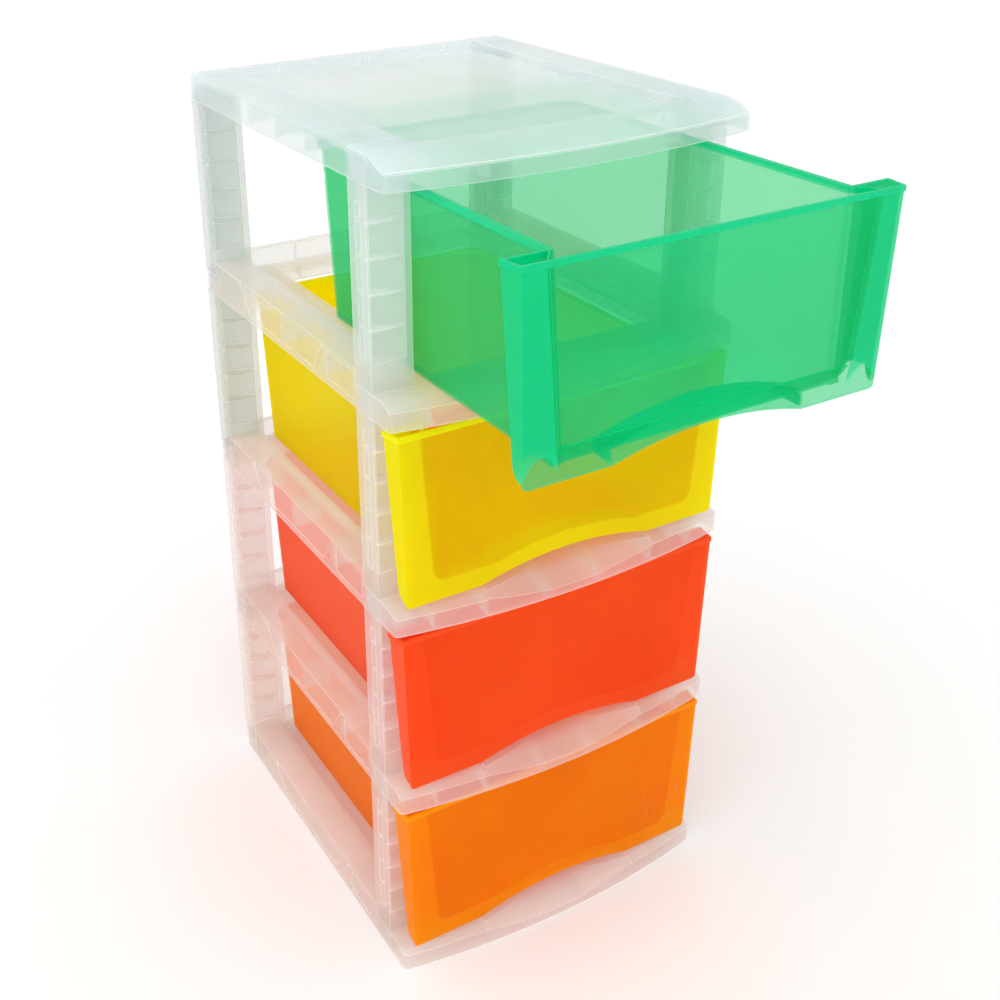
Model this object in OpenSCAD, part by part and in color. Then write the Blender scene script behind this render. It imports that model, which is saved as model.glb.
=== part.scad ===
// Plastic drawer tower: four open-topped drawers in a plug-together
// frame of a top shelf, three shelf frames, a base frame and sixteen
// corner posts. Origin: middle of the frame's footprint on the floor,
// -Y is the drawer side, +Z is up. Millimetres.

/* [Frame] */
// width of every shelf frame, X
body_w = 380; // [372:1:392]
// depth of the shelf frames at their corners, Y
body_d = 422; // [415:1:440]
// how far the front edge bows forward of its corners
front_bow = 18; // [14:1:20]
// height from the underside of one shelf to the underside of the next
pitch = 210; // [205:1:230]
// wall thickness of shelves and posts
wall = 2.2; // [2:0.1:2.4]
// radius of the front corners of the shelves
corner_r = 5; // [3:0.5:7]

/* [Shelf frames] */
// height of the side and rear rails
rail_h = 38; // [36:1:42]
// height of the ledge that the drawers slide over
ledge_h = 24; // [23:0.5:25]
// width of the side rails
rail_w = 35; // [33:1:37]
// height of the upright front edge beside the finger scoop
edge_h = 18.4; // [16:0.2:20]
// height of the front edge in the middle of the finger scoop
scoop_h = 8.7; // [7:0.1:11]
// half width of the finger scoop in the front edge
scoop_half = 96; // [88:1:104]

/* [Top shelf] */
// overall height of the top shelf
top_h = 27; // [26:1:32]
// depth of the sunk middle panel
tray_depth = 9; // [5:0.5:10]
// width of the raised side borders
border_w = 48; // [45:1:52]
// height of the upright front edge
front_edge_h = 14.5; // [13:0.5:16]

/* [Posts] */
// width of a post, X
post_w = 42; // [40:1:43]
// depth of a post, Y
post_d = 31; // [29:1:33]
// distance from the front corner of the shelf to the front posts
post_setback = 31; // [28:1:34]
// height between the cross fins of a post
fin_gap = 31.65; // [29:0.05:32]
// length of the plugs at both ends of a post
plug_len = 10.5; // [8:0.5:10.5]

/* [Drawers] */
// half width of the drawer box at its rim
box_half_w = 144; // [140:0.5:144.5]
// half width of the drawer's front at its rim
front_half = 183; // [180:0.5:185]
// height of the drawer's rim above the shelf's underside
rim_z = 204; // [196:1:206]
// how far the top drawer stands open
top_drawer_open = 184; // [0:0.5:290]
// wall thickness of the drawers
drawer_wall = 2; // [1.8:0.1:2.4]
// height of the finger recess at its middle
grip_top = 56.5; // [52:0.5:62]
// depth of the finger recess behind the panel
grip_depth = 21; // [16:1:24]

/* [Hidden] */

hw = body_w / 2;
hd = body_d / 2;
// radius of the bowed front and the middle of its circle
bow_r = (hw * hw + front_bow * front_bow) / (2 * front_bow);
bow_y = -hd - front_bow + bow_r;
ink = 0.01;

// posts: outer faces flush with the sides
post_in = hw - post_w;
fp_y0 = -hd + post_setback;
fp_y1 = fp_y0 + post_d;
rp_y1 = hd;
rp_y0 = hd - post_d;

milky = [0.86, 0.88, 0.88, 0.6];
green_c = [0.10, 0.75, 0.45, 0.7];
yellow_c = [0.95, 0.82, 0.05, 0.8];
red_c = [0.98, 0.33, 0.22, 0.85];
orange_c = [0.97, 0.50, 0.06, 0.85];

// ---------- plan outline of a shelf, inset by i ----------
module plan2d(i = 0) {
  r = max(corner_r - i, 0.8);
  x1 = hw - i;
  R1 = bow_r - i;
  cx = x1 - r;
  cy = bow_y - sqrt((R1 - r) * (R1 - r) - cx * cx);
  xt = cx * R1 / (R1 - r);
  rr = max(3.5 - i, 0.8);
  difference() {
    union() {
      intersection() {
        translate([0, bow_y]) circle(r = R1, $fn = 720);
        union() {
          translate([-xt, -hd - front_bow - 5]) square([2 * xt, 2 * hd + front_bow + 5 - i]);
          translate([-x1, cy]) square([2 * x1, hd - i - cy]);
        }
      }
      for (s = [-1, 1]) translate([s * cx, cy]) circle(r = r, $fn = 48);
    }
    for (s = [-1, 1]) difference() {
      translate([s * x1 - (s > 0 ? rr : 0), hd - i - rr]) square([rr, rr]);
      translate([s * (x1 - rr), hd - i - rr]) circle(r = rr, $fn = 48);
    }
  }
}

module slab(z0, z1, i = 0) translate([0, 0, z0]) linear_extrude(z1 - z0) plan2d(i);

// extrude a (y, z) outline along X between x0 and x1
module along_x(x0, x1) translate([x0, 0, 0]) rotate([90, 0, 90]) linear_extrude(x1 - x0) children();
// extrude an (x, z) outline along Y between y0 and y1
module along_y(y0, y1) translate([0, y1, 0]) rotate([90, 0, 0]) linear_extrude(y1 - y0) children();

module box(x0, x1, y0, y1, z0, z1) translate([x0, y0, z0]) cube([x1 - x0, y1 - y0, z1 - z0]);

// ---------- open shelf frame ----------
// the ledge ends in a rounded nose, lowered between the scoop's ends
flat_half = 30;
nose_run = 39;
nose_fall = ledge_h - scoop_h;
nose_r = (nose_run * nose_run + nose_fall * nose_fall) / (2 * nose_fall);
nose_y = -hd - front_bow + nose_run;
scoop_turn = atan((scoop_half * scoop_half - flat_half * flat_half) / (2 * bow_r) / (scoop_half - flat_half));
scoop_lift = atan((edge_h - scoop_h - 0.4) / (scoop_half - flat_half));

// side view of the middle of the ledge, lowered by dz
module nose2d(dz) {
  intersection() {
    translate([nose_y, ledge_h - nose_r]) circle(r = nose_r - dz, $fn = 360);
    translate([nose_y - 50, -30]) square([51, 80]);
  }
  translate([nose_y, -30]) square([60, ledge_h + 30 - dz]);
}

module frame_ledge(dz) {
  // middle
  intersection() {
    along_x(-flat_half, flat_half) nose2d(dz);
    box(-hw, hw, -hd - front_bow - 1, nose_y + 1, 0, ledge_h - dz);
  }
  for (s = [0, 1]) mirror([s, 0, 0]) {
    // flanks that rise from the middle to the ends of the scoop
    intersection() {
      translate([flat_half, 0, 0]) rotate([0, -scoop_lift, 0]) rotate([0, 0, scoop_turn]) along_x(-15, 90) nose2d(dz);
      box(flat_half, scoop_half, -hd - front_bow - 1, nose_y + 1, 0, ledge_h - dz);
    }
    // ends, of even height along the bow
    intersection() {
      translate([0, bow_y, 0]) rotate([0, 0, 225]) rotate_extrude(angle = 90, $fn = 720)
        polygon([[bow_r - 90, -1], [bow_r + 2, -1], [bow_r + 2, edge_h - dz - 0.6], [bow_r, edge_h - dz], [bow_r - 8, edge_h + 4 - dz],
          [bow_r - 14, ledge_h - dz], [bow_r - 90, ledge_h - dz]]);
      box(scoop_half, hw + 1, -hd - front_bow - 1, nose_y + 1, 0, ledge_h - dz);
    }
  }
}

module frame_shape(i = 0, dz = 0) intersection() {
  slab(0, rail_h + 1, i);
  union() {
    frame_ledge(dz);
    box(-hw - 1, hw + 1, nose_y, hd + 1, -1, ledge_h - dz);
    box(-hw - 1, hw + 1, fp_y1, hd + 1, -1, rail_h - dz);
  }
}

open_y0 = -hd + 44;
open_y1 = hd - 27.5;
run_x = 124;

module shelf_frame() difference() {
  union() {
    // outer wall
    difference() {
      frame_shape();
      translate([0, 0, -1]) slab(0, rail_h + 3, wall);
    }
    // front ledge skin
    intersection() {
      difference() {
        frame_shape();
        translate([0, 0, -ink]) frame_shape(0, wall);
      }
      box(-hw, hw, -hd - front_bow - 1, open_y0, 0, ledge_h);
    }
    // front ribs
    for (s = [-1, 1], x = [flat_half, scoop_half, 150]) intersection() {
      frame_shape();
      box(s * x - 0.8, s * x + 0.8, -hd - front_bow, x > 140 ? fp_y0 + 1 : open_y0 - 0.5, 0, ledge_h);
    }
    // rear edge of the ledge, between the front posts
    box(-post_in - 1, post_in + 1, open_y0 - wall, open_y0, 6, ledge_h);
    // side rails
    for (s = [0, 1]) mirror([s, 0, 0]) {
      box(-hw + 0.5, -hw + rail_w, fp_y1, rp_y0, rail_h - wall, rail_h);
      box(-hw + rail_w - wall, -hw + rail_w, fp_y1, rp_y0, ledge_h - wall, rail_h);
      box(-hw + rail_w - wall, -run_x, fp_y1 - 1, open_y1 + 1, ledge_h - wall, ledge_h);
      box(-run_x - wall, -run_x, fp_y1 - 10, open_y1 + 1, 12, ledge_h);
      box(-post_in - 1, -run_x, open_y0 - 1, fp_y1, ledge_h - wall, ledge_h);
      // cross ribs inside the rail
      for (y = [-76, 16, 108]) box(-hw + 0.5, -hw + rail_w - 0.5, y - 0.8, y + 0.8, 4, rail_h - 0.5);
      for (y = [fp_y1, rp_y0 - wall]) box(-hw + 0.5, -hw + rail_w, y, y + wall, ledge_h - wall, rail_h);
      // sockets for the posts
      for (y = [fp_y0, rp_y0]) difference() {
        box(-hw + 0.5, -post_in, y, y + post_d - (y > 0 ? 0.5 : 0), 0, ledge_h);
        box(-hw + wall, -post_in - wall, y + wall, y + post_d - wall, -1, ledge_h / 2 - 1);
        box(-hw + wall, -post_in - wall, y + wall, y + post_d - wall, ledge_h / 2 + 1, ledge_h + 1);
      }
    }
    // rear rail: lower channel with ribs, upright wall above
    box(-post_in - 1, post_in + 1, open_y1, hd - 0.5, 14.3, 16.5);
    box(-post_in - 1, post_in + 1, open_y1, open_y1 + wall, 0, 16.5);
    for (x = [-86, 0, 86]) {
      box(x - 1, x + 1, open_y1 + 0.5, hd - 0.5, 0, 15);
      box(x - 1, x + 1, hd - 8, hd - 0.5, 15, rail_h - 1);
    }
    box(-post_in - 1, post_in + 1, hd - 5, hd - 0.5, rail_h - 1.6, rail_h);
    for (s = [-1, 1]) box(s > 0 ? post_in - 0.4 : -post_in - wall, s > 0 ? post_in + wall : -post_in + 0.4, rp_y0, hd - 0.5, 0, ledge_h);
  }
  // room for the posts that stand on the frame
  for (s = [0, 1]) mirror([s, 0, 0]) {
    box(-hw - 1, -post_in, fp_y0, fp_y1, ledge_h, rail_h + 2);
    box(-hw - 1, -post_in, rp_y0, hd + 1, ledge_h, rail_h + 2);
    // sunk panel in the outer face of the rail
    translate([-hw - 1 + ink, 0, 0]) along_x(0, 1.9) polygon([[-83, rail_h + 1], [115, rail_h + 1], [92, 7], [-60, 7]]);
    // step above the foot rim
    box(-hw - 1, -hw + 0.7, fp_y1 + 4, -84 - 6, 7, rail_h - 4);
    // insides of the sockets, above and below their floor
    for (y = [fp_y0, rp_y0], z = [-1, ledge_h / 2 + 1]) box(-hw + wall, -post_in - wall, y + wall, y + post_d - wall, z, z + ledge_h / 2);
  }
}

// ---------- top shelf ----------
top_run = 45;
nose_drop = top_h - front_edge_h;
top_nose_r = (top_run * top_run + nose_drop * nose_drop) / (2 * nose_drop);

module top_shape(i = 0) intersection() {
  slab(0, top_h - i, i);
  translate([0, bow_y, 0]) rotate([0, 0, 225]) rotate_extrude(angle = 90, $fn = 720) union() {
    translate([bow_r - 620, -2]) square([620 - top_run, top_h + 2 - i]);
    intersection() {
      translate([bow_r - top_run, top_h - top_nose_r]) circle(r = top_nose_r - i, $fn = 360);
      translate([bow_r - top_run - 1, -2]) square([top_run + 1 - i, top_h + 3]);
    }
  }
  // rounded long edges
  along_y(-hd - front_bow - 1, hd + 1) union() {
    translate([-hw + i, -1]) square([body_w - 2 * i, top_h - 6 + 1]);
    translate([-hw + 7, -1]) square([body_w - 14, top_h + 1 - i]);
    for (s = [-1, 1]) translate([s * (hw - 7), top_h - 7]) circle(r = 7 - i, $fn = 64);
  }
}

tray_x = hw - border_w;
tray_y = hd - 23;
module tray_cut(g = 0) intersection() {
  translate([-tray_x - g, -hd - front_bow, top_h - tray_depth - g]) cube([2 * (tray_x + g), tray_y + g + hd + front_bow, 40]);
  translate([0, bow_y, 0]) rotate([0, 0, 225]) rotate_extrude(angle = 90, $fn = 720)
    polygon([[bow_r - 600, 0], [bow_r - 58 + g, 0], [bow_r - 58 + g, top_h - tray_depth - g], [bow_r - 46 + g, top_h - 1.2], [bow_r - 46 + g, 60], [bow_r - 600, 60]]);
}

module top_shelf_shape() difference() {
  union() {
    difference() {
      top_shape();
      tray_cut();
      difference() {
        translate([0, 0, -ink]) top_shape(wall);
        translate([0, 0, -0.5]) tray_cut(wall);
      }
      // open underside of the sunk panel
      translate([0, 0, -5]) intersection() {
        slab(0, top_h - tray_depth - wall + 5, wall);
        box(-hw, hw, -hd - front_bow, hd, 0, top_h);
      }
    }
    // ribs under the front edge
    for (x = [-98, 0, 98]) intersection() {
      top_shape(0.6);
      box(x - 0.8, x + 0.8, -hd - front_bow, -hd + 16, 3, top_h);
      box(-hw, hw, -hd - front_bow, -hd + 16, 3, top_h - tray_depth + 4);
    }
    for (s = [0, 1]) mirror([s, 0, 0]) {
      // ribs behind the side walls
      for (y = [64, 0, -64]) box(-hw + 1, -tray_x, y - 0.8, y + 0.8, 3, top_h - 4);
      // sockets for the posts
      for (y = [fp_y0, rp_y0]) difference() {
        box(-hw + 0.5, -post_in, y, y + post_d - (y > 0 ? 0.5 : 0), 0, top_h - 2);
        box(-hw + wall, -post_in - wall, y + wall, y + post_d - wall, -1, top_h - 4);
      }
      // stops that hold the drawer in
      box(-post_in, -post_in + 9, fp_y0 + 8, fp_y0 + 10.5, 8, top_h - tray_depth - 1);
    }
    // centre bar and small nubs on the rear step
    box(-6, 6, tray_y - 4, tray_y + 1, top_h - tray_depth - 1, top_h);
    for (s = [-1, 1]) box(s * 100 - 1.5, s * 100 + 1.5, tray_y - 1.5, tray_y + 1, top_h - 5, top_h);
  }
  // insides of the sockets
  for (s = [0, 1], y = [fp_y0, rp_y0]) mirror([s, 0, 0]) box(-hw + wall, -post_in - wall, y + wall, y + post_d - wall, -1, 12);
}

// ---------- post ----------
// local frame: u 0 at the outer face, v 0 at the front face
web_r = 48.4;
web_c = 35.4;
foot_z = 27.5;
module post_hollow2d() difference() {
  translate([2 * wall + 0.3, 2 * wall + 0.3]) square([post_w - 4 * wall - 0.6, post_d - 4 * wall - 0.6]);
  post_recess2d(wall);
}
module post_recess2d(g) intersection() {
  translate([wall + 0.2, -web_c]) circle(r = web_r + g, $fn = 180);
  translate([wall - g, -20]) square([post_w - wall - 3, 20 + 14 + g]);
}
post_len = pitch - ledge_h;

module post_shape() {
  difference() {
    translate([0, 0, 0]) linear_extrude(post_len) square([post_w, post_d]);
    // front recess, in cells between the fins
    for (k = [0:4]) {
      z0 = foot_z + k * fin_gap + 0.9;
      z1 = k == 4 ? post_len + 1 : foot_z + (k + 1) * fin_gap - 0.9;
      translate([0, 0, z0]) linear_extrude(z1 - z0) post_recess2d(0);
    }
    // hollow, open at both ends
    translate([0, 0, -1]) linear_extrude(post_len + 2) post_hollow2d();
    // ladder of shallow slots in the outer face
    for (k = [0:4]) {
      z0 = foot_z + k * fin_gap + 1.2;
      z1 = k == 4 ? foot_z + 4 * fin_gap + 15 : foot_z + (k + 1) * fin_gap - 1.2;
      translate([-1, post_d - 21, z0]) cube([2.2, 10, z1 - z0]);
    }
  }
  // convex front edges of the fins
  for (k = [1:4]) translate([0, 0, foot_z + k * fin_gap - 0.9]) linear_extrude(1.8) intersection() {
    translate([17, 62]) circle(r = 64.5, $fn = 180);
    translate([0.4, -3]) square([33, 3.01]);
  }
  // plugs
  for (e = [0, 1]) translate([0, 0, e == 0 ? -plug_len : post_len]) linear_extrude(plug_len) difference() {
    translate([wall + 0.3, wall + 0.3]) square([post_w - 2 * wall - 0.6, post_d - 2 * wall - 0.6]);
    post_hollow2d();
  }
}

// side: 0 left, 1 right; rear: 0 front, 1 rear; level 0 at the bottom
module place_post(side, rear, level) mirror([side, 0, 0])
  translate([-hw, rear == 1 ? rp_y0 : fp_y0, level * pitch + ledge_h]) post_shape();

// ---------- drawer ----------
t2 = drawer_wall;
yp = -hd - 1.5;
panel_z0 = 27.8;
taper = 5;
tub_z0 = ledge_h + 0.6;
draft = 7.5;
// rounding of the box's bottom corners
bot_r = 5;
// rounding of the box's lower front edge
front_r = 40;
tub_y1 = hd - 21;
tub_h = rim_z - tub_z0;
cone_x = box_half_w - 12;
cone_y = tub_y1 - 12;

// the box's outer surface, grown inward by g: front view, side view, plan
module tub_block(g) intersection() {
  along_y(yp + 1 + (g > 0 ? 1 : 0), tub_y1 + 1) union() {
    hbz = box_half_w - draft;
    polygon([[-box_half_w + g - 0.02 * draft, rim_z + 0.02 * tub_h], [box_half_w - g + 0.02 * draft, rim_z + 0.02 * tub_h],
      [hbz - g + draft * bot_r / tub_h, tub_z0 + bot_r], [hbz - bot_r, tub_z0 + g], [-hbz + bot_r, tub_z0 + g], [-hbz + g - draft * bot_r / tub_h, tub_z0 + bot_r]]);
    for (s = [-1, 1]) translate([s * (hbz - bot_r + draft * bot_r / tub_h), tub_z0 + bot_r]) circle(r = bot_r - g, $fn = 64);
  }
  along_x(-hw, hw) union() {
    rb = tub_y1 - draft;
    polygon([[yp + 1 + front_r - g / 2, rim_z + 2], [tub_y1 - g + 2 * draft / tub_h, rim_z + 2], [rb - g + draft * bot_r / tub_h, tub_z0 + bot_r], [rb - bot_r, tub_z0 + g], [yp + 1 + front_r - g / 2, tub_z0 + g]]);
    translate([rb - bot_r + draft * bot_r / tub_h, tub_z0 + bot_r]) circle(r = bot_r - g, $fn = 64);
    translate([yp + 1 + g / 2, tub_z0 + front_r]) square([front_r, tub_h]);
    translate([yp + 1 + front_r - g / 2, tub_z0 + front_r]) circle(r = front_r - g, $fn = 180);
  }
  union() {
    box(-cone_x, cone_x, yp - 1, tub_y1 + 1, 0, rim_z + 2);
    box(-box_half_w - 1, box_half_w + 1, yp - 1, cone_y, 0, rim_z + 2);
    for (s = [-1, 1]) translate([s * cone_x, cone_y, tub_z0]) cylinder(r1 = 12 - draft - g, r2 = 12 - g, h = tub_h + (g > 0 ? 0.01 : 0), $fn = 96);
  }
}

// the box widens towards the front panel
flare_a = 5;
module flare(g) intersection() {
  for (s = [0, 1]) mirror([s, 0, 0]) translate([161, 0, rim_z]) rotate([0, flare_a, 0]) translate([-161, 0, -200]) linear_extrude(220)
    polygon([[-20, -150], [-20, yp], [161 - g * 1.24, yp], [161 - g * 1.24, yp + 1 + g / 2], [137.2 - g * 1.24, -180], [130, -180], [130, -150]]);
  along_x(-hw, hw) {
    translate([yp + 1 + g / 2, tub_z0 + front_r]) square([front_r, tub_h]);
    intersection() {
      translate([yp + 1 + front_r - g / 2, tub_z0 + front_r]) circle(r = front_r - g, $fn = 180);
      translate([yp, tub_z0 + 3 + g]) square([front_r - 1, tub_h]);
    }
    translate([yp + front_r - 2, tub_z0 + 3 + g]) square([40, tub_h]);
  }
  box(-hw, hw, yp, 0, tub_z0 + 3 + g, rim_z + (g > 0 ? 1 : 0));
}

// half width of the front panel at height z
function half_at(z) = front_half - taper * (rim_z - z) / (rim_z - panel_z0);
side_a = atan(taper / (rim_z - panel_z0));
arch_half = 96;
arch_rise = 13.5;
arch_r = (arch_half * arch_half + arch_rise * arch_rise) / (2 * arch_rise);

// outline of the panel seen from the front
module panel2d() {
  pr = 4.5;
  zc = panel_z0 + pr;
  xc = half_at(zc) - pr / cos(side_a);
  polygon([[-front_half, rim_z], [front_half, rim_z], [xc + pr * cos(side_a), zc - pr * sin(side_a)], [xc, panel_z0],
    [-xc, panel_z0], [-xc - pr * cos(side_a), zc - pr * sin(side_a)]]);
  for (s = [-1, 1]) translate([s * xc, zc]) circle(r = pr, $fn = 64);
}

grip_half = 96;
grip_side = 40.5;
grip_r = (grip_half * grip_half + (grip_top - grip_side) * (grip_top - grip_side)) / (2 * (grip_top - grip_side));
module grip_arch(g, y1) along_y(yp - 5, y1) intersection() {
  translate([0, grip_top - grip_r]) circle(r = grip_r + g, $fn = 360);
  translate([-grip_half - g, 0]) square([2 * (grip_half + g), 90]);
}

wing_d = 20.5;
wing_a = 10;
back_a = 3;
// left wing: turned-back side and the wall behind the pocket
module wing() {
  translate([-front_half + 0.3, yp, rim_z]) rotate([0, -side_a, 0]) rotate([0, 0, wing_a]) rotate([90, 0, 90]) linear_extrude(t2)
    polygon([[0.2, -1], [0.2, 5 - rim_z + panel_z0], [3.5, 5.6 - rim_z + panel_z0], [6.6, 7.4 - rim_z + panel_z0], [9.2, 10.6 - rim_z + panel_z0],
      [10.9, 15 - rim_z + panel_z0], [11.8, 22 - rim_z + panel_z0], [wing_d / cos(wing_a), -1]]);
  // rim
  intersection() {
    translate([-front_half + 0.3, yp, rim_z - 5]) rotate([0, 0, wing_a]) translate([-1, -2, 0]) cube([t2 + 1, wing_d / cos(wing_a) + 3, 5]);
    box(-hw, 0, yp - 1, yp + 60, 0, rim_z);
  }
  // back wall, arched at its lower end
  wx = front_half + wing_d * tan(wing_a);
  bz = 8 - rim_z + panel_z0;
  ax = -(front_half - taper + box_half_w - draft) / 2 - 2.5;
  translate([0, yp + wing_d, rim_z]) rotate([-back_a, 0, 0]) rotate([90, 0, 0]) linear_extrude(t2) difference() {
    polygon([[-wx + 0.6, 0], [-box_half_w + 1, 0], [-box_half_w + draft * (rim_z - panel_z0 - 8) / tub_h + 1, bz], [ax, bz], [ax, bz + 12], [-wx + 7.2, bz + 12]]);
    translate([ax, bz + 4]) circle(r = 13, $fn = 64);
    translate([ax - 13, bz - 20]) square([26, 24]);
  }
  // rim along the top of the back wall
  box(-wx + 1.2, -box_half_w - 1, yp + wing_d - 1.2, yp + wing_d + 1, rim_z - 5, rim_z);
}

module drawer_shape() difference() {
  union() {
    // box
    difference() {
      union() {
        tub_block(0);
        flare(0);
      }
      tub_block(t2);
      flare(t2);
      box(-hw, hw, yp - 2, hd, rim_z, rim_z + 20);
    }
    // front panel with its rim
    along_y(yp, yp + t2) panel2d();
    along_y(yp - 1, yp + 0.5) intersection() {
      panel2d();
      translate([-hw, rim_z - 5]) square([2 * hw, 10]);
    }
    for (s = [0, 1]) mirror([s, 0, 0]) wing();
    // rim around the box
    translate([0, 0, rim_z - 6.5]) linear_extrude(6.5) difference() {
      union() {
        translate([-box_half_w - 3.3, yp + wing_d - 1]) square([2 * (box_half_w + 3.3), cone_y - yp - wing_d + 1]);
        translate([-cone_x, cone_y - 1]) square([2 * cone_x, 12 + 3.3 + 1]);
        for (s = [-1, 1]) translate([s * cone_x, cone_y]) circle(r = 15.3, $fn = 96);
      }
      translate([-box_half_w + 1, yp]) square([2 * (box_half_w - 1), cone_y - yp]);
      translate([-cone_x, cone_y - 1]) square([2 * cone_x, 12]);
      for (s = [-1, 1]) translate([s * cone_x, cone_y]) circle(r = 11, $fn = 96);
    }
    // shell of the finger recess
    intersection() {
      grip_arch(t2, yp + grip_depth + t2);
      box(-hw, hw, yp + 1, 0, panel_z0 + 1.9, 100);
    }
  }
  // finger recess, open below
  intersection() {
    grip_arch(0, yp + grip_depth);
    box(-hw, hw, yp + t2, 0, 0, 100);
  }
  // shallow arch in the lower edge of the front
  along_y(yp - 2, yp + t2 + 0.5) translate([0, panel_z0 + arch_rise - arch_r]) circle(r = arch_r, $fn = 360);
  // level top edge
  box(-hw - 1, hw + 1, yp - 5, hd, rim_z, rim_z + 20);
}

module place_drawer(level, open = 0) translate([0, -open, level * pitch]) drawer_shape();

// ---------- nodes ----------
module top_shelf() color(milky) translate([0, 0, 4 * pitch]) top_shelf_shape();
module upper_shelf_frame() color(milky) translate([0, 0, 3 * pitch]) shelf_frame();
module middle_shelf_frame() color(milky) translate([0, 0, 2 * pitch]) shelf_frame();
module lower_shelf_frame() color(milky) translate([0, 0, pitch]) shelf_frame();
module base_frame() color(milky) shelf_frame();
module post_top_front_left() color(milky) place_post(0, 0, 3);
module post_top_front_right() color(milky) place_post(1, 0, 3);
module post_top_rear_left() color(milky) place_post(0, 1, 3);
module post_top_rear_right() color(milky) place_post(1, 1, 3);
module post_upper_front_left() color(milky) place_post(0, 0, 2);
module post_upper_front_right() color(milky) place_post(1, 0, 2);
module post_upper_rear_left() color(milky) place_post(0, 1, 2);
module post_upper_rear_right() color(milky) place_post(1, 1, 2);
module post_lower_front_left() color(milky) place_post(0, 0, 1);
module post_lower_front_right() color(milky) place_post(1, 0, 1);
module post_lower_rear_left() color(milky) place_post(0, 1, 1);
module post_lower_rear_right() color(milky) place_post(1, 1, 1);
module post_bottom_front_left() color(milky) place_post(0, 0, 0);
module post_bottom_front_right() color(milky) place_post(1, 0, 0);
module post_bottom_rear_left() color(milky) place_post(0, 1, 0);
module post_bottom_rear_right() color(milky) place_post(1, 1, 0);
module green_drawer() color(green_c) place_drawer(3, top_drawer_open);
module yellow_drawer() color(yellow_c) place_drawer(2);
module red_drawer() color(red_c) place_drawer(1);
module orange_drawer() color(orange_c) place_drawer(0);

top_shelf();
upper_shelf_frame();
middle_shelf_frame();
lower_shelf_frame();
base_frame();
post_top_front_left();
post_top_front_right();
post_top_rear_left();
post_top_rear_right();
post_upper_front_left();
post_upper_front_right();
post_upper_rear_left();
post_upper_rear_right();
post_lower_front_left();
post_lower_front_right();
post_lower_rear_left();
post_lower_rear_right();
post_bottom_front_left();
post_bottom_front_right();
post_bottom_rear_left();
post_bottom_rear_right();
green_drawer();
yellow_drawer();
red_drawer();
orange_drawer();
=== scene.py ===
import math
import bpy
from mathutils import Matrix, Vector

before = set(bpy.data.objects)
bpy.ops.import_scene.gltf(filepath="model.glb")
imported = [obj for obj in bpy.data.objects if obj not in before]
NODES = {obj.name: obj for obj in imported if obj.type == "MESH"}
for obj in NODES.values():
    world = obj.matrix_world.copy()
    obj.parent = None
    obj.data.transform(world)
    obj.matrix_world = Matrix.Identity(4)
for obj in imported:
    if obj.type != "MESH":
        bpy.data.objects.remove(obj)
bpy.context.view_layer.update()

scene = bpy.context.scene


# ---------------------------------------------------------------- node helpers
class Tree:
    """Small helper that adds and links shader nodes."""

    def __init__(self, name):
        self.mat = bpy.data.materials.new(name)
        self.mat.use_nodes = True
        self.t = self.mat.node_tree
        self.t.nodes.clear()
        self.x = 0

    def add(self, kind, **values):
        n = self.t.nodes.new(kind)
        n.location = (self.x, 0)
        self.x += 180
        for k, v in values.items():
            if k.startswith("p_"):
                setattr(n, k[2:], v)
            else:
                n.inputs[k.replace("__", " ")].default_value = v
        return n

    def link(self, a, b):
        self.t.links.new(a, b)
        return b

    def math(self, op, a, b=None, clamp=False):
        n = self.add("ShaderNodeMath", p_operation=op, p_use_clamp=clamp)
        for i, v in enumerate((a, b)):
            if v is None:
                continue
            if isinstance(v, (int, float)):
                n.inputs[i].default_value = v
            else:
                self.link(v, n.inputs[i])
        return n.outputs[0]

    def ramp(self, src, stops, ease="LINEAR"):
        n = self.add("ShaderNodeValToRGB")
        n.color_ramp.interpolation = ease
        while len(n.color_ramp.elements) < len(stops):
            n.color_ramp.elements.new(0.5)
        for e, (p, c) in zip(n.color_ramp.elements, stops):
            e.position = p
            e.color = c if len(c) == 4 else (*c, 1)
        self.link(src, n.inputs[0])
        return n.outputs[0]

    def mix(self, fac, a, b, kind="MIX"):
        n = self.add("ShaderNodeMix", p_data_type="RGBA", p_blend_type=kind)
        for sock, v in ((n.inputs[0], fac), (n.inputs[6], a), (n.inputs[7], b)):
            if isinstance(v, (int, float)):
                sock.default_value = v
            elif isinstance(v, tuple):
                sock.default_value = v if len(v) == 4 else (*v, 1)
            else:
                self.link(v, sock)
        return n.outputs[2]

    def noise(self, coords, scale, detail=3.0, rough=0.55):
        n = self.add("ShaderNodeTexNoise", Scale=scale, Detail=detail, Roughness=rough)
        self.link(coords, n.inputs["Vector"])
        return n.outputs["Fac"]


def srgb(r, g, b):
    def f(c):
        c /= 255
        return c / 12.92 if c <= 0.04045 else ((c + 0.055) / 1.055) ** 2.4
    return (f(r), f(g), f(b))


# ---------------------------------------------------------------- moulded plastic
def band(k, value, low, high, soft):
    """1 where value lies between low and high, with soft borders."""
    def step(edge, turn):
        n = k.add("ShaderNodeMapRange", p_interpolation_type="SMOOTHSTEP")
        n.inputs["From Min"].default_value = edge - soft
        n.inputs["From Max"].default_value = edge + soft
        n.inputs["To Min"].default_value = 1.0 if turn else 0.0
        n.inputs["To Max"].default_value = 0.0 if turn else 1.0
        k.link(value, n.inputs["Value"])
        return n.outputs[0]
    return k.math("MULTIPLY", step(low, False), step(high, True))


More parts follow.
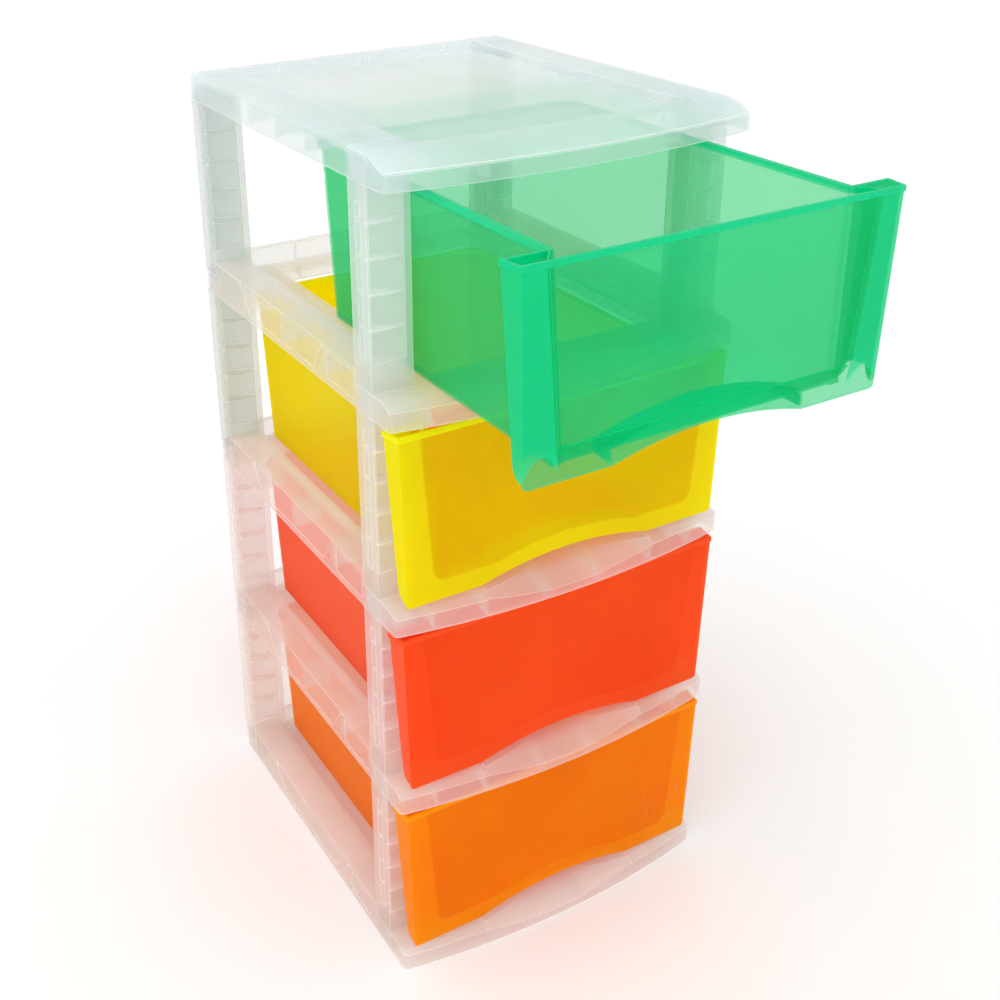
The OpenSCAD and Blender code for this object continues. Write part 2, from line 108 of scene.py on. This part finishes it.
def edges(k, radius):
    """About 1 along the moulded edges, 0 on the flat of a wall."""
    bev = k.add("ShaderNodeBevel", p_samples=2, Radius=radius)
    geo = k.add("ShaderNodeNewGeometry")
    dot = k.add("ShaderNodeVectorMath", p_operation="DOT_PRODUCT")
    k.link(bev.outputs[0], dot.inputs[0])
    k.link(geo.outputs["Normal"], dot.inputs[1])
    n = k.add("ShaderNodeMapRange", p_interpolation_type="SMOOTHSTEP")
    n.inputs["From Min"].default_value = 0.995
    n.inputs["From Max"].default_value = 0.80
    k.link(dot.outputs["Value"], n.inputs["Value"])
    return n.outputs[0]


def lerp_edge(k, value, low, high):
    """0 below low, 1 above high, smooth between."""
    n = k.add("ShaderNodeMapRange", p_interpolation_type="SMOOTHSTEP")
    n.inputs["From Min"].default_value = low
    n.inputs["From Max"].default_value = high
    k.link(value, n.inputs["Value"])
    return n.outputs[0]


def thick_parts(k, xyz, base, shift_y, strips, recess, low):
    """Where a drawer's front is more than one wall thick: rims, the hollow strip at each end, the finger recess."""
    x, y, z = xyz
    z = k.math("SUBTRACT", z, base)
    y = k.math("SUBTRACT", y, shift_y)
    ax = k.math("ABSOLUTE", x)
    rim = band(k, z, 0.1985, 0.30, 0.0006)
    front = band(k, y, -0.30, -0.1905, 0.0003)
    # inner border of the end strips, closer together towards the bottom, joined by the lower edge with a round corner
    line = k.math("ADD", k.math("MULTIPLY", k.math("SUBTRACT", z, 0.030), 0.085), 0.1465)
    r = 0.012
    dx = k.math("SUBTRACT", ax, k.math("SUBTRACT", line, r))
    if low:
        dz = k.math("SUBTRACT", 0.048 + r, z)
        px, pz = k.math("MAXIMUM", dx, 0.0), k.math("MAXIMUM", dz, 0.0)
        out = k.math("SQRT", k.math("ADD", k.math("MULTIPLY", px, px), k.math("MULTIPLY", pz, pz)))
        inn = k.math("MINIMUM", k.math("MAXIMUM", dx, dz), 0.0)
        strip = lerp_edge(k, k.math("ADD", out, inn), r - 0.0015, r + 0.0015)
    else:
        # a single wall below the arched end of the strip
        off = k.math("SUBTRACT", ax, 0.162)
        arch = k.math("SUBTRACT", 0.0525, k.math("MULTIPLY", k.math("MULTIPLY", off, off), 70.0))
        strip = k.math("MULTIPLY", lerp_edge(k, dx, r - 0.0008, r + 0.0008), lerp_edge(k, k.math("SUBTRACT", z, arch), -0.001, 0.001))
    strip = k.math("MULTIPLY", k.math("MULTIPLY", strip, front), strips)
    # finger recess: everything below its arched roof
    roof = k.math("SUBTRACT", 0.0590, k.math("MULTIPLY", k.math("MULTIPLY", x, x), 1.70))
    depth = band(k, y, -0.2105 if not low else -0.30, -0.1885, 0.0003)
    lip = k.math("MULTIPLY", depth, k.math("MULTIPLY", lerp_edge(k, k.math("SUBTRACT", roof, z), -0.0008, 0.0008), lerp_edge(k, k.math("SUBTRACT", 0.0985, ax), -0.0005, 0.0005)))
    lip = k.math("MULTIPLY", k.math("MULTIPLY", lip, lerp_edge(k, z, 0.0285, 0.0295)), recess)
    return k.math("MAXIMUM", rim, k.math("MAXIMUM", strip, lip))


def plastic(name, deep, light, side_painted_light, through, cover, glow, roughness, specular, edge_highlight_and_thick_colour, edge_cover, seed,
            flat=0.0, level=None, shift_y=0.0, strips=0.0, recess=0.0, low=True, scuffs=None):
    """Injection-moulded polypropylene. through is the tint of what is seen through one face, cover the share of a face
    that hides what is behind it, glow the share of that cover lit from behind, and the third colour, for the walls
    facing x, is a painted sheen on the drawers and painted shade on the milky parts."""
    k = Tree(name)
    coords = k.add("ShaderNodeTexCoord").outputs["Object"]
    shift = k.add("ShaderNodeMapping")
    shift.inputs["Location"].default_value = (seed * 1.7, seed * 0.9, seed * 2.3)
    k.link(coords, shift.inputs["Vector"])
    at = shift.outputs[0]
    cloud = k.noise(at, 7.0, 1.0, 0.5)        # slow thickness and flow variation
    grain = k.noise(at, 420.0, 2.0, 0.5)      # moulded surface grain
    scuff = k.noise(at, 60.0, 3.0, 0.7)       # handling marks
    # flow marks run away from the gate
    stretch = k.add("ShaderNodeMapping")
    stretch.inputs["Scale"].default_value = (30.0, 4.0, 30.0)
    k.link(at, stretch.inputs["Vector"])
    flow = k.noise(stretch.outputs[0], 1.0, 2.0, 0.6)
    tone = k.math("ADD", k.math("MULTIPLY", cloud, 0.7), k.math("MULTIPLY", flow, 0.3))
    fac = k.ramp(tone, [(0.35, (0, 0, 0)), (0.65, (1, 1, 1))], "EASE")
    xyz = k.add("ShaderNodeSeparateXYZ")
    k.link(coords, xyz.inputs[0])
    xyz = [xyz.outputs[i] for i in range(3)]
    nrm = k.add("ShaderNodeSeparateXYZ")
    k.link(k.add("ShaderNodeNewGeometry").outputs["True Normal"], nrm.inputs[0])
    facing = [k.math("ABSOLUTE", nrm.outputs[i]) for i in range(3)]
    edge = edges(k, 0.0014)
    # walls facing x take their own colour: a painted sheen on the drawers, painted shade on the milky parts
    col = k.mix(k.math("POWER", facing[0], 4.0), k.mix(fac, deep, light), side_painted_light)
    if level is None:
        # the posts' plugs make the corners of the shelves denser
        corner = lerp_edge(k, k.math("ABSOLUTE", xyz[0]), 0.146, 0.150)
        # painted warm bounce light: the frames' colour is multiplied warmer towards the bottom
        col = k.mix(k.math("SUBTRACT", 1.0, lerp_edge(k, xyz[2], 0.10, 0.80)), col, (1.0, 0.94, 0.885), "MULTIPLY")
        ends = k.math("ADD", band(k, xyz[1], -0.182, -0.147, 0.003), lerp_edge(k, xyz[1], 0.178, 0.182))
        thick = k.math("MULTIPLY", corner, ends)
    else:
        # rims, end strips and the finger recess are thicker and take the edge colour: deeper on the green, while the
        # lighter colour on the yellow and orange is painted light passing into the strips
        edge = k.math("MAXIMUM", edge, thick_parts(k, xyz, level * 0.210, shift_y, strips, recess, low))
        thick = None
    # edges and thick parts take the edge colour: on the milky parts a near-white painted highlight over thicker
    # plastic, on the drawers the thick parts' colour
    col = k.mix(edge, col, edge_highlight_and_thick_colour)
    if scuffs:
        # pale rubbed marks near the lower right corner of the front
        where = k.math("MULTIPLY", band(k, xyz[0], scuffs[0], scuffs[1], 0.012), band(k, xyz[2], scuffs[2], scuffs[3], 0.012))
        rub = k.noise(at, 95.0, 5.0, 0.75)
        where = k.math("MULTIPLY", k.math("MULTIPLY", where, lerp_edge(k, rub, 0.56, 0.66)), k.math("POWER", facing[1], 4.0))
        col = k.mix(k.math("MULTIPLY", where, 0.45), col, (1.0, 0.72, 0.55))
    p = k.add("ShaderNodeBsdfPrincipled")
    k.link(col, p.inputs["Base Color"])
    p.inputs["IOR"].default_value = 1.49
    p.inputs["Specular IOR Level"].default_value = specular
    rough = k.math("ADD", k.math("MULTIPLY", k.math("SUBTRACT", scuff, 0.5), roughness * 0.5), roughness)
    rough = k.math("ADD", k.math("MULTIPLY", k.math("SUBTRACT", grain, 0.5), roughness * 0.2), rough)
    k.link(rough, p.inputs["Roughness"])
    bump = k.add("ShaderNodeBump", Strength=0.10, Distance=0.0003)
    k.link(k.math("MULTIPLY", cloud, 2.0), bump.inputs["Height"])
    k.link(bump.outputs[0], p.inputs["Normal"])
    back = k.add("ShaderNodeBsdfTranslucent")
    k.link(col, back.inputs["Color"])
    lit = k.add("ShaderNodeMixShader", Fac=glow)
    k.link(p.outputs[0], lit.inputs[1])
    k.link(back.outputs[0], lit.inputs[2])
    clear = k.add("ShaderNodeBsdfTransparent")
    clear.inputs["Color"].default_value = (*through, 1)
    # thicker, cloudier places hide more
    hide = k.math("ADD", k.math("MULTIPLY", k.math("SUBTRACT", tone, 0.5), 0.10), cover)
    if flat:
        # level surfaces are seen at a flatter angle, through more of the milky plastic
        hide = k.math("ADD", hide, k.math("MULTIPLY", facing[2], flat))
    if thick:
        hide = k.math("ADD", hide, k.math("MULTIPLY", thick, 0.14))
    hide = k.math("ADD", hide, k.math("MULTIPLY", edge, edge_cover - cover), clamp=True)
    body = k.add("ShaderNodeMixShader")
    k.link(hide, body.inputs[0])
    k.link(clear.outputs[0], body.inputs[1])
    k.link(lit.outputs[0], body.inputs[2])
    k.link(body.outputs[0], k.add("ShaderNodeOutputMaterial").inputs["Surface"])
    return k.mat


MILK = ((0.91, 0.92, 0.935), (0.945, 0.955, 0.97), (0.90, 0.915, 0.925), (0.985, 0.968, 0.965))
# the upper rear posts get a darker, greyer copy of the milky plastic: painted shade
POST_SHADED = ((0.80, 0.83, 0.83), (0.84, 0.865, 0.865), (0.80, 0.825, 0.825), (0.945, 0.955, 0.945))
# the top shelf gets a cooler, greenish-blue copy of the milky plastic: painted cool light from above and green light
# from the drawer below
TOP_COOL_LIT = ((0.86, 0.925, 0.95), (0.90, 0.955, 0.98), (0.86, 0.915, 0.935), (0.97, 0.972, 0.972))
milky = plastic("milky_plastic", *MILK, 0.29, 0.5, 0.30, 0.5, (1.0, 1.0, 1.0), 0.80, 1, flat=0.17)
milky_shaded_rear_post = plastic("milky_plastic_shaded_upper_rear_posts", *POST_SHADED, 0.29, 0.5, 0.30, 0.5, (1.0, 1.0, 1.0), 0.80, 7)
milky_top_cool_lit = plastic("milky_plastic_top", *TOP_COOL_LIT, 0.29, 0.5, 0.30, 0.5, (1.0, 1.0, 1.0), 0.80, 6, flat=0.36)
green = plastic("green_plastic", (0.0, 0.92, 0.44), (0.0, 0.98, 0.49), (0.06, 0.95, 0.42), (0.62, 0.86, 0.72), 0.22, 0.45, 0.12, 0.35,
                (0.0, 0.76, 0.39), 0.80, 2, level=3, shift_y=-0.184, strips=0.70, recess=0.85, low=False)
yellow = plastic("yellow_plastic", (0.95, 0.81, 0.0), (0.98, 0.87, 0.0), (0.93, 0.95, 0.0), (1.0, 0.88, 0.02), 0.42, 0.5, 0.16, 0.18,
                 (0.98, 0.96, 0.0), 0.85, 3, level=2, strips=0.62, recess=0.62)
red = plastic("red_plastic", (1.0, 0.165, 0.02), (1.0, 0.185, 0.025), (1.0, 0.31, 0.13), (1.0, 0.42, 0.22), 0.55, 0.5, 0.16, 0.18,
              (1.0, 0.16, 0.03), 0.80, 4, level=1, strips=0.25, recess=0.35)
orange = plastic("orange_plastic", (0.98, 0.40, 0.0), (1.0, 0.44, 0.0), (0.98, 0.47, 0.07), (1.0, 0.66, 0.03), 0.55, 0.5, 0.16, 0.18,
                 (1.0, 0.49, 0.0), 0.80, 5, level=0, strips=0.45, recess=0.30, scuffs=(0.115, 0.168, 0.045, 0.098))

for name, ob in NODES.items():
    m = {"green_drawer": green, "yellow_drawer": yellow, "red_drawer": red, "orange_drawer": orange,
         "top_shelf": milky_top_cool_lit}.get(name, milky_shaded_rear_post if name in ("post_top_rear_left", "post_top_rear_right", "post_upper_rear_left", "post_upper_rear_right") else milky)
    ob.data.materials.clear()
    ob.data.materials.append(m)

# ---------------------------------------------------------------- floor, light, camera
floor_mesh = bpy.data.meshes.new("floor")
floor_mesh.from_pydata([(-30, -30, -0.0005), (30, -30, -0.0005), (30, 30, -0.0005), (-30, 30, -0.0005)], [], [(0, 1, 2, 3)])
floor = bpy.data.objects.new("floor", floor_mesh)
scene.collection.objects.link(floor)
ft = Tree("floor_paint")
fc = ft.noise(ft.add("ShaderNodeTexCoord").outputs["Object"], 3.0, 2.0)
fp = ft.add("ShaderNodeBsdfPrincipled", Roughness=0.9)
ft.link(ft.mix(fc, (0.90, 0.90, 0.90), (0.93, 0.93, 0.93)), fp.inputs["Base Color"])
ft.link(fp.outputs[0], ft.add("ShaderNodeOutputMaterial").inputs["Surface"])
floor_mesh.materials.append(ft.mat)

world = bpy.data.worlds.new("studio")
scene.world = world
world.use_nodes = True
wt = world.node_tree
wt.nodes.clear()
wc = wt.nodes.new("ShaderNodeTexCoord")
# soft bright side: direction towards the key light
wd = wt.nodes.new("ShaderNodeVectorMath")
wd.operation = "DOT_PRODUCT"
key = Vector((-0.66, -0.56, 0.52)).normalized()
wd.inputs[1].default_value = key
wt.links.new(wc.outputs["Generated"], wd.inputs[0])
wm = wt.nodes.new("ShaderNodeMapRange")
wm.interpolation_type = "SMOOTHSTEP"
wm.inputs["From Min"].default_value = -0.2
wm.inputs["From Max"].default_value = 1.0
wm.inputs["To Min"].default_value = 0.76
wm.inputs["To Max"].default_value = 1.60
wt.links.new(wd.outputs["Value"], wm.inputs["Value"])
wb = wt.nodes.new("ShaderNodeBackground")
wb.inputs["Color"].default_value = (1.0, 1.0, 1.0, 1)
wt.links.new(wm.outputs[0], wb.inputs["Strength"])
wo = wt.nodes.new("ShaderNodeOutputWorld")
wt.links.new(wb.outputs[0], wo.inputs["Surface"])

# light passes many thin walls
scene.cycles.max_bounces = 12
scene.cycles.transmission_bounces = 12
scene.cycles.diffuse_bounces = 6
scene.cycles.transparent_max_bounces = 64

cam = bpy.data.cameras.new("camera")
cam.sensor_width = 36.0
cam.sensor_fit = "HORIZONTAL"
cam.lens = 36.0 * 1321.581 / 1000.0
cam.shift_x = (500 - 403.930) / 1000.0
cam.shift_y = (395.488 - 500) / 1000.0
cam.clip_start = 0.01
cam.clip_end = 200.0
right = Vector((0.8747502, -0.4840925, -0.0216002))
down = Vector((-0.2207347, -0.3583906, -0.9071010))
ahead = Vector((0.4313794, 0.7982547, -0.4203583))
cob = bpy.data.objects.new("camera", cam)
scene.collection.objects.link(cob)
r = Matrix((right, -down, -ahead)).transposed().to_4x4()
cob.matrix_world = Matrix.Translation((-0.657337, -1.103588, 1.132766)) @ r
scene.camera = cob
scene.view_settings.view_transform = "Standard"
